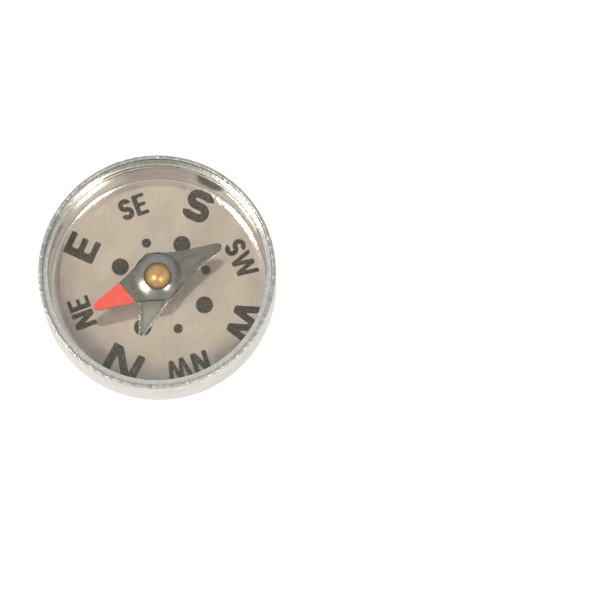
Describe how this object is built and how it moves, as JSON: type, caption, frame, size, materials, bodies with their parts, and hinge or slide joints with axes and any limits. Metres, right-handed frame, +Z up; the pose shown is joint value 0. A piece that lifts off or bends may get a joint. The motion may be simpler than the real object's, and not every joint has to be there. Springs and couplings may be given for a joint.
{
  "type": "plotting compass",
  "caption": "Small round aluminium plotting compass: printed dial floor, magnetised needle turning on a lanced pivot, clear crystal held by a retaining ring.",
  "frame": {"origin": "centre of the case's flat underside", "axes": "+Z up through the crystal, along the needle's turning axis; +Y towards the dial's N and +X towards its E"},
  "size_m": [0.02, 0.02, 0.0064],
  "materials": {
    "case_aluminium": "bare, fine rolling lines on the floor, satin wall",
    "crystal_glass": "clear, polished",
    "ring_aluminium": "bare, turned, slightly burred",
    "needle_steel": "stamped, satin",
    "cap_brass": "turned and polished",
    "dial_ink": "printed ink",
    "needle_red": "thin orange-red paint"
  },
  "bodies": {
    "housing": {"case": "case_aluminium", "crystal": "crystal_glass", "retaining_ring": "ring_aluminium"},
    "needle_assembly": {"needle": "needle_steel", "pivot_cap": "cap_brass"}
  },
  "joints": [
    {"name": "needle_spin", "type": "hinge", "parent": "housing", "child": "needle_assembly", "pos_m": [0, 0, 0.0045], "axis": [0, 0, 1], "continuous": true}
  ]
}
